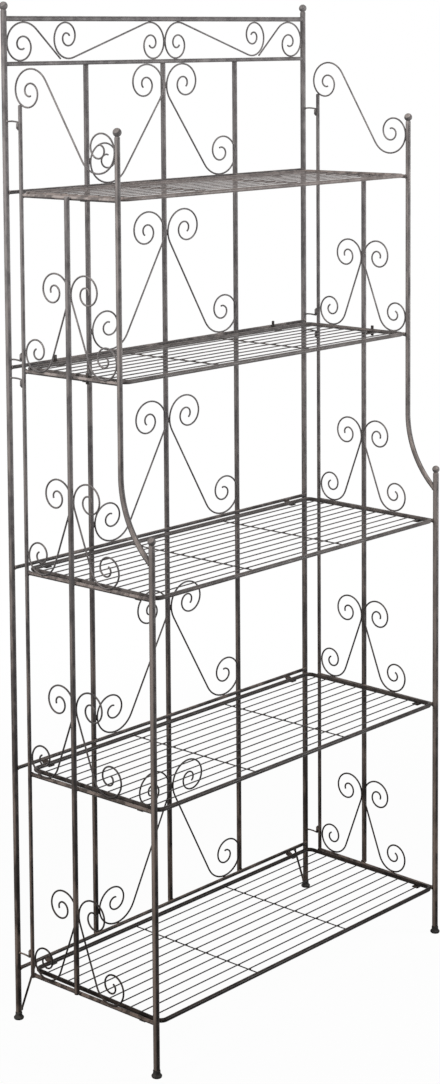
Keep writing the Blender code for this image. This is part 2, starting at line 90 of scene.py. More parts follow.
panel_lean = {}
for joint in frame["joints"]:
    if joint["type"] == "hinge":
        pivot = Vector(joint["pos_m"])
        low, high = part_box(joint["child"].replace("_panel", "_front_foot"))
        run = (low + high) / 2 - pivot
        lean = Matrix.Rotation(math.atan2(run.x, -run.y), 4, "Z")
        panel_lean[joint["child"]] = Matrix.Translation(pivot) @ lean @ Matrix.Translation(-pivot)
        hinge_line = back_y - pivot.y


def antiqued(name, upper, lower, rough=(0.20, 0.36), rub=(0.50, 0.68), least_highlight=0.22):
    """Two-coat bronze: a dark coat, a mottled ground and a paler coat rubbed back by hand.

    upper and lower are the dark, ground and paler colours at the head and at the foot of the stand, graded by
    height as painted light; rub is where the noise bares a worn patch, and the last argument is the least
    share of the paler coat on the side turned to the lamps, a painted highlight.
    """
    paint = bpy.data.materials.new(name)
    paint.use_nodes = True
    tree = paint.node_tree
    shader = tree.nodes["Principled BSDF"]
    texture = tree.nodes.new("ShaderNodeTexCoord")
    place = texture.outputs["Object"]

    def cloud(scale, detail, stretch=(1.0, 1.0, 1.0), distortion=0.0):
        mapping = tree.nodes.new("ShaderNodeMapping")
        mapping.inputs["Scale"].default_value = stretch
        tree.links.new(place, mapping.inputs["Vector"])
        noise = tree.nodes.new("ShaderNodeTexNoise")
        noise.inputs["Scale"].default_value = scale
        noise.inputs["Detail"].default_value = detail
        noise.inputs["Roughness"].default_value = 0.6
        noise.inputs["Distortion"].default_value = distortion
        tree.links.new(mapping.outputs["Vector"], noise.inputs["Vector"])
        return noise.outputs["Fac"]

    def graded(value, low, high, out_low=0.0, out_high=1.0):
        node = tree.nodes.new("ShaderNodeMapRange")
        node.interpolation_type = "SMOOTHSTEP"
        limits = {"From Min": low, "From Max": high, "To Min": out_low, "To Max": out_high}
        for socket, number in limits.items():
            node.inputs[socket].default_value = number
        tree.links.new(value, node.inputs["Value"])
        return node.outputs["Result"]

    def blended(share, one, two):
        node = tree.nodes.new("ShaderNodeMix")
        node.data_type = "RGBA"
        tree.links.new(share, node.inputs["Factor"])
        for socket, colour in ((node.inputs[6], one), (node.inputs[7], two)):
            if isinstance(colour, tuple):
                socket.default_value = (*colour, 1.0)
            else:
                tree.links.new(colour, socket)
        return node.outputs[2]

    # Painted highlight: the side of a bar that faces up and to the left lamp takes the paler coat.
    def highlight_face():
        facing = tree.nodes.new("ShaderNodeVectorMath")
        facing.operation = "DOT_PRODUCT"
        facing.inputs[1].default_value = HIGHLIGHT_FACE
        tree.links.new(texture.outputs["Normal"], facing.inputs[0])
        return graded(facing.outputs["Value"], *HIGHLIGHT_EDGE)

    def together(one, two):
        node = tree.nodes.new("ShaderNodeMath")
        node.operation = "MULTIPLY"
        tree.links.new(one, node.inputs[0])
        tree.links.new(two, node.inputs[1])
        return node.outputs["Value"]

    split = tree.nodes.new("ShaderNodeSeparateXYZ")
    tree.links.new(place, split.inputs["Vector"])
    # Painted light: the coats are graded from darker at the foot to paler at the head.
    height = graded(split.outputs["Z"], *PAINTED_LIGHT_HEIGHTS)
    mottle = graded(cloud(scale=55.0, detail=5.0), low=0.34, high=0.66)
    blots = cloud(scale=17.0, detail=4.0, stretch=(1.0, 1.0, 0.55), distortion=0.6)
    patches = graded(blots, *rub, out_low=0.0, out_high=0.35)
    strokes = cloud(scale=26.0, detail=3.0, stretch=(2.0, 2.0, 0.5))
    # Worn streaks of the paler coat, kept to that side and never less than a least share there, so that they
    # also paint a highlight.
    streaks_and_highlight = together(graded(strokes, low=0.40, high=0.58, out_low=least_highlight, out_high=1.0), highlight_face())
    flecks = graded(cloud(scale=420.0, detail=2.0), low=0.58, high=0.74, out_low=0.0, out_high=0.55)
    coats = [blended(height, below, above) for above, below in zip(upper, lower)]
    colour = blended(mottle, coats[0], coats[1])
    colour = blended(flecks, colour, coats[1])
    # The paler coat goes on in worn patches and, on the side turned to the lamps, as a painted highlight.
    for rubbed in (patches, streaks_and_highlight):
        colour = blended(rubbed, colour, coats[2])
    tree.links.new(colour, shader.inputs["Base Color"])
    sheen = graded(cloud(scale=38.0, detail=4.0), 0.3, 0.7, *rough)
    tree.links.new(sheen, shader.inputs["Roughness"])
    shader.inputs["Metallic"].default_value = 0.0
    shader.inputs["Specular IOR Level"].default_value = 0.05
    peel = tree.nodes.new("ShaderNodeBump")
    peel.inputs["Strength"].default_value = 0.35
    peel.inputs["Distance"].default_value = 0.0004
    tree.links.new(cloud(scale=650.0, detail=3.0), peel.inputs["Height"])
    tree.links.new(peel.outputs["Normal"], shader.inputs["Normal"])
    return paint


def lofted(bm, rings, closed=False):
    """Skin a row of rings with four-sided faces, and close the two ends."""
    pairs = list(zip(rings, rings[1:])) + ([(rings[-1], rings[0])] if closed else [])
    for one, two in pairs:
        for k in range(len(one)):
            n = (k + 1) % len(one)
            bm.faces.new((one[k], one[n], two[n], two[k]))
    if not closed:
        bm.faces.new(rings[0][::-1])
        bm.faces.new(rings[-1])


def rod(bm, path, radius, sides=20, closed=False):
    """Round bar bent along a line of points, with its cut ends filed slightly round."""
    line = [Vector(p) for p in path]
    count = len(line)
    stations = []
    for i, point in enumerate(line):
        before = line[i - 1] if i or closed else point
        after = line[(i + 1) % count] if i < count - 1 or closed else point
        stations.append((point, (after - before).normalized(), 1.0))
    if not closed:
        first, last = stations[0], stations[-1]
        head = [(first[0] + first[1] * radius * run, first[1], share) for run, share in FILED_END]
        tail = [(last[0] - last[1] * radius * run, last[1], share) for run, share in FILED_END[::-1]]
        stations = head + stations[1:-1] + tail
    side = stations[0][1].orthogonal().normalized()
    rings = []
    for point, way, share in stations:
        side = (side - way * side.dot(way)).normalized()
        other = way.cross(side)
        ring = []
        for k in range(sides):
            turn = 2 * math.pi * k / sides
            out = side * math.cos(turn) + other * math.sin(turn)
            ring.append(bm.verts.new(point + out * radius * share))
        rings.append(ring)
    lofted(bm, rings, closed)


def turned(bm, profile, x, y, sides=28, bored=False):
    """Turned form: rings of (radius, height) about the upright at (x, y), from its foot to its head.

    Where it is bored, the rings go on down the bore and the last one joins the first.
    """
    turns = [2 * math.pi * k / sides for k in range(sides)]
    rings = []
    for radius, height in profile:
        rings.append([bm.verts.new((x + radius * math.cos(turn), y + radius * math.sin(turn), height))
                      for turn in turns])
    lofted(bm, rings, bored)


def tube_end(post, foot):
    """Rings of the lower end of a post of that radius, which stands in its cap at height foot."""
    return [(post * share, foot + rise) for share, rise in TUBE_END]


def ball_on_neck(tip, ball, post):
    """Rings of a finial, from its neck in the post's end to its tip."""
    neck, centre = post - NECK_STEP, tip - ball
    shoulder = centre - ball
    start = -math.acos(neck / ball)
    rings = [(post - inwards, shoulder - below) for inwards, below in SHOULDER] + [(neck, shoulder)]
    for k in range(BALL_RINGS + 1):
        a = start + (BALL_TIP - start) * k / BALL_RINGS
        rings.append((ball * math.cos(a), centre + ball * math.sin(a)))
    return rings


def weld(bm, centre, size, sides=10):
    """Lump of weld metal: a small drop with half-lengths size, uneven in another way at every place."""
    rings = []
    for j in range(1, WELD_RINGS + 1):
        lift = -math.pi / 2 + math.pi * j / (WELD_RINGS + 1)
        ring = []
        for k in range(sides):
            turn = 2 * math.pi * k / sides
            swell = 1 + WELD_UNEVEN * math.sin(3 * turn + 900 * (centre[0] + centre[1] + centre[2]) + j)
            ring.append(bm.verts.new((centre[0] + size[0] * swell * math.cos(lift) * math.cos(turn),
                                      centre[1] + size[1] * swell * math.cos(lift) * math.sin(turn),
                                      centre[2] + size[2] * math.sin(lift))))
        rings.append(ring)
    lofted(bm, rings)


def piece(bm, name, body, paint, node, first_faces=None, second_paint=None):
    """Make the finished mesh into a piece that stands for its node and moves with its body.

    Where a second paint is given, it covers all but the first faces.  The pieces of a side panel are drawn
    square to the back, and here they take the panel's slight lean inwards.
    """
    if second_paint:
        for face in bm.faces:
            face.material_index = 0 if face in first_faces else 1
    if body in panel_lean:
        bm.transform(panel_lean[body])
    bmesh.ops.recalc_face_normals(bm, faces=bm.faces)
    mesh = bpy.data.meshes.new(name)
    bm.to_mesh(mesh)
    bm.free()
    mesh.shade_smooth()
    mesh.set_sharp_from_angle(angle=SHARP_EDGE)
    mesh.materials.append(paint)
    if second_paint:
        mesh.materials.append(second_paint)
    made = bpy.data.objects.new(name, mesh)
    bpy.context.scene.collection.objects.link(made)
    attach(made, body)
    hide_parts(node)


bronze = antiqued("antiqued_bronze", UPPER_PAINT, LOWER_PAINT)
for side, hand in (("left", -1), ("right", 1)):
    x, y = hand * post_x, back_y
    foot_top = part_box(f"back_foot_{side}")[1].z
    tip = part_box(f"back_post_{side}")[1].z
    bm = bmesh.new()
    finial = ball_on_neck(tip, BALL_RADIUS, BACK_POST_RADIUS)
    turned(bm, tube_end(BACK_POST_RADIUS, foot_top) + finial, x, y)
    for z, way in hook_heights:
        start, turn_in = BACK_POST_RADIUS - HOOK_BURIED, hinge_line - HOOK_BEND
        path = []
        for k in range(HOOK_STEPS + 1):
            run = start + (turn_in - start) * k / HOOK_STEPS
            path.append((x, y - run, z + HOOK_ARCH * math.sin(math.pi * k / HOOK_STEPS)))
        for k in range(1, BEND_STEPS + 1):
            a = math.radians(90 * k / BEND_STEPS)
            path.append((x, y - turn_in - HOOK_BEND * math.sin(a), z + way * HOOK_BEND * (1 - math.cos(a))))
        path.append((x, y - hinge_line, z + way * PIN_LENGTH))
        rod(bm, path, HOOK_RADIUS, sides=12)
        weld(bm, (x, y - BACK_POST_RADIUS, z), HOOK_WELD)
    piece(bm, f"{side}_back_post", "back_frame", bronze, f"back_post_{side}")


# Foot caps.  Black moulded plastic caps pushed on the ends of the four standing posts: a collar that grips
# the tube, a flare, and a flat foot with a rounded edge.
CAP_RADIUS = 0.0090
CAP_HEIGHT = 0.0130
CAP_EDGE = ((0.78, 0.0), (0.90, 0.0003), (0.97, 0.0012))       # of the foot: share of the radius, height
CAP_RIM, CAP_FLARE = 0.0036, 0.0054
CAP_RIM_STRAIGHT = 0.6          # share of the rim's height from which it is straight
FLARE_STEPS = 7
CAP_COLLAR_STRAIGHT = 0.92      # share of the cap's height up to which the collar is straight
CAP_LIP = 0.0008
CAP_ROUND = 0.0003              # of the collar's upper edge
CAP_BLACK, CAP_SCUFF_AND_SHEEN = (0.012, 0.0115, 0.011), (0.055, 0.050, 0.046)
LOWER_POST_RADIUS = 0.0055
LOWER_DEPTH = 0.328             # of the lower front posts before the back posts
FOOT_CAPS = (("back_foot_left", "back_frame", -1, 0.0, BACK_POST_RADIUS),
             ("back_foot_right", "back_frame", 1, 0.0, BACK_POST_RADIUS),
             ("left_front_foot", "left_panel", -1, LOWER_DEPTH, LOWER_POST_RADIUS),
             ("right_front_foot", "right_panel", 1, LOWER_DEPTH, LOWER_POST_RADIUS))

# The scuff colour shows in worn patches and, on the side turned to the lamps, as a painted highlight.
cap_black = antiqued("moulded_black", (CAP_BLACK, CAP_BLACK, CAP_SCUFF_AND_SHEEN), (CAP_BLACK, CAP_BLACK, CAP_SCUFF_AND_SHEEN),
                     rough=(0.50, 0.70), rub=(0.62, 0.80))
for node, body, hand, depth, post in FOOT_CAPS:
    collar = post + CAP_LIP
    rings = [(CAP_RADIUS * share, height) for share, height in CAP_EDGE]
    rings += [(CAP_RADIUS, CAP_RIM * CAP_RIM_STRAIGHT), (CAP_RADIUS, CAP_RIM)]
    for k in range(1, FLARE_STEPS + 1):
        share = k / FLARE_STEPS
        rings.append((collar + (CAP_RADIUS - collar) * (1 - share) ** 2, CAP_RIM + CAP_FLARE * share))
    rings += [(collar, CAP_HEIGHT * CAP_COLLAR_STRAIGHT), (collar - CAP_ROUND, CAP_HEIGHT - CAP_ROUND),
              (post, CAP_HEIGHT)]
    bm = bmesh.new()
    turned(bm, rings, hand * post_x, back_y - depth)
    piece(bm, f"{node}_cap", body, cap_black, node)


# Foot braces.  Short lengths of thin steel rod that slant from each back post up to the lowest shelf rail,
# welded at both ends, to keep the back panel square.
BRACE_RADIUS = 0.0020
BRACE_REACH = 0.9               # of its axis inside the ends of its solid, in radii
BRACE_LIFT, BRACE_SINK = 0.0006, 0.0002     # of its axis at the foot and at the head
BRACE_FOOT_WELD, BRACE_HEAD_WELD = (0.0026, 0.0023, 0.0042), (0.0042, 0.0023, 0.0024)

for side, hand in (("left", -1), ("right", 1)):
    low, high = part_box(f"foot_brace_{side}")
    reach = BRACE_RADIUS * BRACE_REACH
    outer, inner = (low.x, high.x) if hand < 0 else (high.x, low.x)
    foot = (outer - hand * reach, high.y - BRACE_RADIUS, low.z + BRACE_LIFT)
    head = (inner + hand * reach, low.y + BRACE_RADIUS, high.z - BRACE_SINK)
    bm = bmesh.new()
    rod(bm, [foot, head], BRACE_RADIUS, sides=14)
    weld(bm, foot, BRACE_FOOT_WELD)
    weld(bm, head, BRACE_HEAD_WELD)
    piece(bm, f"{side}_foot_brace", "back_frame", bronze, f"foot_brace_{side}")


# Top rail and frieze rail.  Two level round steel bars between the back posts that frame the scrolled frieze,
# butt welded to the posts with a bead all round.
TOP_RAIL_RADIUS = 0.0045
FRIEZE_RAIL_RADIUS = 0.00375
BURIED = 0.0026                 # of a bar's end in the post that it is welded to
BEAD_RADIUS = 0.0009
BEAD_STEPS = 28
BEAD_LEAST = 0.45               # of the post's radius, where the bar is wider than the post


def bead(bm, centre, way, upright, bar, post, offset=0.0, size=BEAD_RADIUS, sides=8):
    """Weld bead round the end of a bar where it meets a round post.

    centre is the post's axis at the bar's height, way points from there along the bar, upright is the post's
    direction, and offset is how far the bar's axis passes beside the post's.  The ripple is the hand's.
    """
    centre, way, upright = Vector(centre), Vector(way), Vector(upright)
    across = upright.cross(way)
    path = []
    for k in range(BEAD_STEPS):
        turn = 2 * math.pi * k / BEAD_STEPS
        beside = offset + bar * math.cos(turn)
        out = math.sqrt(max(post * post - beside * beside, (post * BEAD_LEAST) ** 2))
        ripple = 1 + 0.03 * math.sin(7 * turn) + 0.02 * math.sin(4 * turn + 1.3)
        path.append(centre + across * (offset + bar * ripple * math.cos(turn))
                    + upright * bar * ripple * math.sin(turn) + way * out)
    rod(bm, path, size, sides, closed=True)


rail_end = post_x - BACK_POST_RADIUS
top_z, frieze_z = [(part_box(node)[0].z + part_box(node)[1].z) / 2 for node in ("top_rail", "frieze_rail")]
for node, z, radius in (("top_rail", top_z, TOP_RAIL_RADIUS), ("frieze_rail", frieze_z, FRIEZE_RAIL_RADIUS)):
    bm = bmesh.new()
    rod(bm, [(-rail_end - BURIED, back_y, z), (rail_end + BURIED, back_y, z)], radius, sides=24)
    for hand in (-1, 1):
        bead(bm, (hand * post_x, back_y, z), (-hand, 0, 0), (0, 0, 1), radius, BACK_POST_RADIUS)
    piece(bm, f"{node}_bar", "back_frame", bronze, node)


# Back bars.  Three upright round steel bars behind the shelf rails, cut square under the frieze rail and
# welded to it and to each rail they cross.
BAR_RADIUS = 0.00475
BAR_INTO_RAIL = 0.0004
BAR_HEAD_WELD = (BAR_RADIUS + 0.0004, BAR_RADIUS + 0.0002, 0.0012)
BAR_CROSSING_WELD = (0.0019, 0.0016, 0.0024)
CROSSING_BESIDE, CROSSING_NEAR = 0.80, 0.62     # of a bar's radius, to its sides and towards the rail

for name in ("left", "middle", "right"):
    low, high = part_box(f"back_bar_{name}")
    x, y = (low.x + high.x) / 2, (low.y + high.y) / 2
    bm = bmesh.new()
    rod(bm, [(x, y, low.z), (x, y, high.z + BAR_INTO_RAIL)], BAR_RADIUS, sides=24)
    weld(bm, (x, y, high.z), BAR_HEAD_WELD, sides=20)
    for z in rail_heights:
        for hand in (-1, 1):
            weld(bm, (x + hand * BAR_RADIUS * CROSSING_BESIDE, y - BAR_RADIUS * CROSSING_NEAR, z),
                 BAR_CROSSING_WELD)
    piece(bm, f"{name}_back_bar", "back_frame", bronze, f"back_bar_{name}")


# Frieze.  Thin round steel wire rolled cold into S-scrolls that meet in the middle, with a tailed coil at
# each end; every scroll is tacked to the two rails where it touches them.
WIRE_RADIUS = 0.0016
WIRE_LOWER = ((0.006, 0.005, 0.0046), (0.014, 0.0112, 0.0105), (0.045, 0.034, 0.029))
COIL_SWEEP = math.radians(575)
COIL_CLOSING = 0.83             # share of its reach that a coil loses on the way in
COIL_EASE = 1.25
COIL_STEPS = 66
COIL_HOOK = 7                   # steps by which the inner end turns on at its least radius
COIL_SLANT = math.atan(COIL_CLOSING * COIL_EASE / COIL_SWEEP)
FRIEZE_END_SPAN = 0.134         # width of a tailed coil
FRIEZE_LAP = 0.015              # reach of an S-scroll over the tail
FRIEZE_INNER = (0.0380, 0.0275, 0.0385)     # a coil's place in from two edges, and its outer reach
FRIEZE_OUTER = (0.0350, 0.0255, 0.0370)
FRIEZE_END = (0.0485, 0.0240, 0.0420)
FRIEZE_TACK = (0.0038, 0.0017, 0.0012)
TAIL_BEARING = math.radians(140)


def coil(centre, start, radius, sense, hook):
    """Points of a coil that winds in from its outer end, faster at first than at last, and ends in a hook."""
    points = []
    for i in range(COIL_STEPS + hook + 1):
        share = i / COIL_STEPS
        reach = radius * (1 - COIL_CLOSING * (1 - max(1 - share, 0) ** COIL_EASE))
        angle = start + sense * COIL_SWEEP * share
        points.append((centre[0] + reach * math.cos(angle), centre[1] + reach * math.sin(angle)))
    return points


def scroll(one, reach_one, two, reach_two, crossed, hook=COIL_HOOK):
    """Wire that coils at both ends and runs straight between them: a C, or an S when the line is crossed."""
    tangent_one, tangent_two = reach_one * math.cos(COIL_SLANT), reach_two * math.cos(COIL_SLANT)
    one, two = Vector(one), Vector(two)
    along = two - one
    side_one = -1 if crossed else 1
    tilt = math.asin((side_one * tangent_one - tangent_two) / along.length)
    bearing = math.atan2(along.y, along.x) + tilt
    run = Vector((math.cos(bearing), math.sin(bearing)))
    left = Vector((-run.y, run.x))
    leave = run * reach_one * math.sin(COIL_SLANT) - left * side_one * tangent_one
    arrive = -left * tangent_two - run * reach_two * math.sin(COIL_SLANT)
    first = coil(one, math.atan2(leave.y, leave.x), reach_one, -side_one, hook)
    return first[::-1] + coil(two, math.atan2(arrive.y, arrive.x), reach_two, 1, hook)


def stretched(points, u0, u1, v0, v1):
    """Points drawn out to fill the space between the bars that the scroll touches."""
    us, vs = [p[0] for p in points], [p[1] for p in points]
    su, sv = (u1 - u0) / (max(us) - min(us)), (v1 - v0) / (max(vs) - min(vs))
    return [(u0 + (u - min(us)) * su, v0 + (v - min(vs)) * sv) for u, v in points]


def extremes(points):
    """Outermost points of a scroll, where it is tacked: least and greatest u, least and greatest v."""
    by_u, by_v = sorted(points), sorted(points, key=lambda p: p[1])
    return by_u[0], by_u[-1], by_v[0], by_v[-1]


wire_bronze = antiqued("antiqued_wire_bronze", UPPER_PAINT, WIRE_LOWER)
frieze_foot = frieze_z + FRIEZE_RAIL_RADIUS + WIRE_RADIUS
frieze_head = top_z - TOP_RAIL_RADIUS - WIRE_RADIUS
split = post_x - FRIEZE_END_SPAN
for side, hand in (("left", -1), ("right", 1)):
    outer = (split + FRIEZE_LAP - FRIEZE_OUTER[0], frieze_head - FRIEZE_OUTER[1])
    inner = (FRIEZE_INNER[0], frieze_foot + FRIEZE_INNER[1])
    s_line = scroll(outer, FRIEZE_OUTER[2], inner, FRIEZE_INNER[2], True)
    s_line = stretched(s_line, WIRE_RADIUS, split + FRIEZE_LAP, frieze_foot, frieze_head)
    centre = (post_x - FRIEZE_END[0], frieze_foot + FRIEZE_END[1])
    tailed = [(split, frieze_foot)] + coil(centre, TAIL_BEARING, FRIEZE_END[2], -1, COIL_HOOK)
    tailed = stretched(tailed, split, post_x - BACK_POST_RADIUS - WIRE_RADIUS, frieze_foot, frieze_head)
    for form, line in (("frieze_scroll", s_line), ("frieze_end", tailed)):
        bm = bmesh.new()
        rod(bm, [(hand * u, back_y, v) for u, v in line], WIRE_RADIUS, sides=14)
        for u, v in extremes(line)[2:]:
            rise = WIRE_RADIUS if v > (frieze_foot + frieze_head) / 2 else -WIRE_RADIUS
            weld(bm, (hand * u, back_y, v + rise), FRIEZE_TACK)
        piece(bm, f"{side}_{form}", "back_frame", wire_bronze, f"{form}_{side}")


# Back shelf rails.  Five level round steel bars welded to the fronts of the three upright bars and to the
# posts.  Each carries two lugs of bent strip on which the rear of a shelf rests; those of the second tier
# have an upright tab as well, which keeps the shelf from sliding.
UPPER_TIERS = 2                 # the shallow ones, counted from the top
RAIL_IN = 0.0038                # axes of the shelf rails inside those of the posts
UPPER_LUG_X, LOWER_LUG_X = 0.296, 0.335
STRIP_WIDTH = 0.013
STRIP_THICK = 0.0024
STRIP_EDGE = 0.0006             # rounding of its edges
STRIP_TOE = 0.001               # past the axis of the shelf's rim
STRIP_BELOW_RIM = 0.0041        # top of the strip under the axis of the rim
LUG_ROOT = (0.0008, 0.0004)     # upper end of the bent strip, in from the rail's face and under its axis
LUG_KNEE = (0.0050, 0.0012)     # its first bend, out from the rail's axis and under it
LUG_HEEL = (0.0140, 0.0002)     # its second bend, out from the rail's axis and under the flat arm
LUG_FLAT = 0.0160               # where the flat arm begins
LUG_WELD = (0.0040, 0.0010, 0.0014)
LUG_WELD_SINK = 0.0010
LUG_WELD_SPREAD = 0.3           # of the strip's width, to both sides
TAB_LEVEL = 1                   # tier whose lugs have tabs, with 0 at the top
TAB_WIDTH = 0.006
TAB_THICK = 0.0024
TAB_RISE, TAB_DROP = 0.011, 0.009
TAB_SLOPE = 0.0006              # of its head
TAB_LET_IN = 0.0006             # to the face of the rail
TAB_WELD = (0.0013, 0.0013, 0.0034)
TAB_WELD_IN, TAB_WELD_RISE = 0.0008, 0.0012
SHELF_RIM_REAR = 0.025          # axis of the shelf's rim before the back posts'
RIM_BELOW_RAIL = 0.002          # axis of the rim under the back rail's
RAIL_UPPER = ((0.052, 0.047, 0.047), (0.105, 0.096, 0.095), (0.390, 0.338, 0.316))
RAIL_LOWER = ((0.005, 0.0042, 0.0039), (0.011, 0.009, 0.0082), (0.160, 0.122, 0.103))
LUG_UPPER = ((0.020, 0.018, 0.017), (0.040, 0.036, 0.034), (0.085, 0.074, 0.068))
LUG_LOWER = ((0.005, 0.004, 0.0038), (0.010, 0.008, 0.0075), (0.100, 0.076, 0.063))


def strip(bm, top, thick, near, far, place):
    """Flat strip bent along the line top, thick under it and wide from near to far, its edges dressed round.

    place turns a point across the rail, a height and a point along the rail into a point of the stand.
    """
    outline = top + [(u, v - thick) for u, v in top[::-1]]
    ends = [[bm.verts.new(place(u, v, s)) for u, v in outline] for s in (near, far)]
    lofted(bm, ends)
    edges = list(dict.fromkeys(e for ring in ends for vert in ring for e in vert.link_edges))
    bmesh.ops.bevel(bm, geom=edges, offset=STRIP_EDGE, segments=2, profile=0.5, affect="EDGES")


def tab(bm, across, z, at, place):
    """Upright tab welded to the inner face of a rail, its head a little sloped."""
    top = [(across, z + TAB_RISE), (across + TAB_THICK, z + TAB_RISE - TAB_SLOPE)]
    strip(bm, top, TAB_RISE + TAB_DROP - TAB_SLOPE, at - TAB_WIDTH / 2, at + TAB_WIDTH / 2, place)
    for way in (-1, 1):
        beside = at + way * TAB_WIDTH * 0.5
        weld(bm, place(across + TAB_WELD_IN, z + TAB_WELD_RISE, beside), TAB_WELD)


# The rails are painted with more contrast than the posts: a darker ground, and a paler coat with a larger
# least share on the side turned to the lamps, which is a painted highlight.
rail_bronze = antiqued("antiqued_rail_bronze", RAIL_UPPER, RAIL_LOWER, least_highlight=0.30)
# The lugs are painted darker than the rails they hang from.
lug_bronze = antiqued("dark_lug_bronze", LUG_UPPER, LUG_LOWER)
for level, z in enumerate(rail_heights):
    y = back_y - RAIL_IN
    arm = -RIM_BELOW_RAIL - STRIP_BELOW_RIM
    rim = SHELF_RIM_REAR - RAIL_IN
    bm = bmesh.new()
    rod(bm, [(-rail_end - BURIED, y, z), (rail_end + BURIED, y, z)], SHELF_RAIL_RADIUS, sides=20)
    for hand in (-1, 1):
        bead(bm, (hand * post_x, back_y, z), (-hand, 0, 0), (0, 0, 1), SHELF_RAIL_RADIUS, BACK_POST_RADIUS,
             hand * RAIL_IN)
    rail_faces = set(bm.faces)
    for hand in (-1, 1):
        x = hand * (UPPER_LUG_X if level < UPPER_TIERS else LOWER_LUG_X)

        def place(u, v, s):
            return s, y - u, v

        bend = [(SHELF_RAIL_RADIUS - LUG_ROOT[0], z - LUG_ROOT[1]), (LUG_KNEE[0], z - LUG_KNEE[1]),
                (LUG_HEEL[0], z + arm - LUG_HEEL[1]), (LUG_FLAT, z + arm), (rim + STRIP_TOE, z + arm)]
        strip(bm, bend, STRIP_THICK, x - STRIP_WIDTH / 2, x + STRIP_WIDTH / 2, place)
        for way in (-1, 1):
            beside = x + way * STRIP_WIDTH * LUG_WELD_SPREAD
            weld(bm, (beside, y - SHELF_RAIL_RADIUS, z - LUG_WELD_SINK), LUG_WELD)
        if level == TAB_LEVEL:
            tab(bm, SHELF_RAIL_RADIUS - TAB_LET_IN, z, x, place)
    piece(bm, f"back_shelf_rail_{level + 1}", "back_frame", rail_bronze, f"back_rail_{level + 1}",
          rail_faces, lug_bronze)


# Back scrolls.  A pair of C-scrolls of thin steel wire in each of the five bays, back to back about the
# middle bar; each is tacked to the bars on its two sides and to the rail it stands on.
BAR_SPACING = 0.200
LYRE_CLEAR = 0.0050             # wire's axis from those of the bars beside it
LYRE_FOOT = 0.0037              # wire's axis over that of the rail
LYRE_TOPS = (0.246, 0.246, 0.246, 0.262)        # of the four lower bays; the top pair meets the frieze rail
LYRE_UPPER = (0.0570, 0.0370, 0.0450)           # a coil's place in from two edges, and its outer reach
LYRE_LOWER = (0.0520, 0.0455, 0.0475)
LYRE_SIDE_TACK, LYRE_FOOT_TACK = (0.0016, 0.0020, 0.0060), (0.0034, 0.0018, 0.0014)
LYRE_TACK_BACK = 0.0016         # side tacks behind the wire, towards the bars
LYRE_TACK_DOWN = 0.0012         # foot tacks before the wire and under it, towards the rail

lyre_tops = (frieze_z - FRIEZE_RAIL_RADIUS - WIRE_RADIUS - rail_heights[0], *LYRE_TOPS)
for level, z in enumerate(rail_heights):
    top = lyre_tops[level]
    upper = (LYRE_UPPER[0], top - LYRE_UPPER[1])
    lower = (BAR_SPACING - LYRE_LOWER[0], LYRE_LOWER[1])
    line = scroll(upper, LYRE_UPPER[2], lower, LYRE_LOWER[2], False)
    line = stretched(line, LYRE_CLEAR, BAR_SPACING - LYRE_CLEAR, LYRE_FOOT, top)
    for side, hand in (("left", -1), ("right", 1)):
        bm = bmesh.new()
        rod(bm, [(hand * u, back_y, z + v) for u, v in line], WIRE_RADIUS, sides=14)
        for u, v in extremes(line)[:2]:
            weld(bm, (hand * u, back_y + LYRE_TACK_BACK, z + v), LYRE_SIDE_TACK)
        u, v = extremes(line)[2]
        weld(bm, (hand * u, back_y - LYRE_TACK_DOWN, z + v - LYRE_TACK_DOWN), LYRE_FOOT_TACK)
        name = f"back_scroll_{level + 1}_{side}"
        piece(bm, f"{name}_wire", "back_frame", wire_bronze, name)


# Side panels' top scrolls.  One falling S of thin steel wire at the head of each side panel, welded to the
# top of the rear post and tacked to the upper front post.
UPPER_DEPTH = 0.261             # of the upper front posts before the back posts
TOP_SCROLL_REAR = 0.0272
TOP_SCROLL_RISE = 0.211         # head and foot above the highest shelf rail
TOP_SCROLL_DIP = 0.039
TOP_UPPER = (0.0360, 0.0400, 0.0430)            # a coil's place in from two edges, and its outer reach
TOP_LOWER = (0.0328, 0.0414, 0.0440)
TOP_SCROLL_TACK = (0.0018, 0.0012, 0.0036)
TOP_TACK_FRONT = 0.0014
FRONT_BAR_RADIUS = 0.00475

front = UPPER_DEPTH - FRONT_BAR_RADIUS - WIRE_RADIUS
head, dip = rail_heights[0] + TOP_SCROLL_RISE, rail_heights[0] + TOP_SCROLL_DIP
upper = (TOP_SCROLL_REAR + TOP_UPPER[0], head - TOP_UPPER[1])
lower = (front - TOP_LOWER[0], dip + TOP_LOWER[1])
line = scroll(upper, TOP_UPPER[2], lower, TOP_LOWER[2], True)
top_line = stretched(line, TOP_SCROLL_REAR, front, dip, head)
for side, hand in (("left", -1), ("right", 1)):
    x = hand * post_x
    bm = bmesh.new()
    rod(bm, [(x, back_y - u, v) for u, v in top_line], WIRE_RADIUS, sides=14)
    u, v = extremes(top_line)[1]
    weld(bm, (x, back_y - u - TOP_TACK_FRONT, v), TOP_SCROLL_TACK)
    piece(bm, f"{side}_falling_scroll", f"{side}_panel", wire_bronze,
          f"{side}_top_scroll")


# Side panels' rear posts.  A slim upright steel bar with four short bored sleeves welded to its rear face;
# the sleeves drop over the hooks of the back post and make the hinge.
REAR_POST_RADIUS = 0.0035
REAR_POST_Y = 0.0375            # before the back post
SLEEVE_RADIUS = 0.0032
SLEEVE_BORE = 0.0019
SLEEVE_LENGTH = 0.010
SLEEVE_NEAR = 0.0018            # its nearer end from the level of the hook
SLEEVE_EDGE = ((SLEEVE_BORE, 0.0004), (SLEEVE_BORE + 0.0003, 0.0),      # radius, and height in from an end
               (SLEEVE_RADIUS - 0.0004, 0.0), (SLEEVE_RADIUS, 0.0005))
SEAM_SIZE = (0.0008, 0.0008, SLEEVE_LENGTH * 0.36)
SEAM_BESIDE, SEAM_SINK = 0.0021, 0.0008
REAR_HEAD_WELD = (0.0026, 0.0026, 0.0014)
REAR_HEAD_RISE = 0.0006

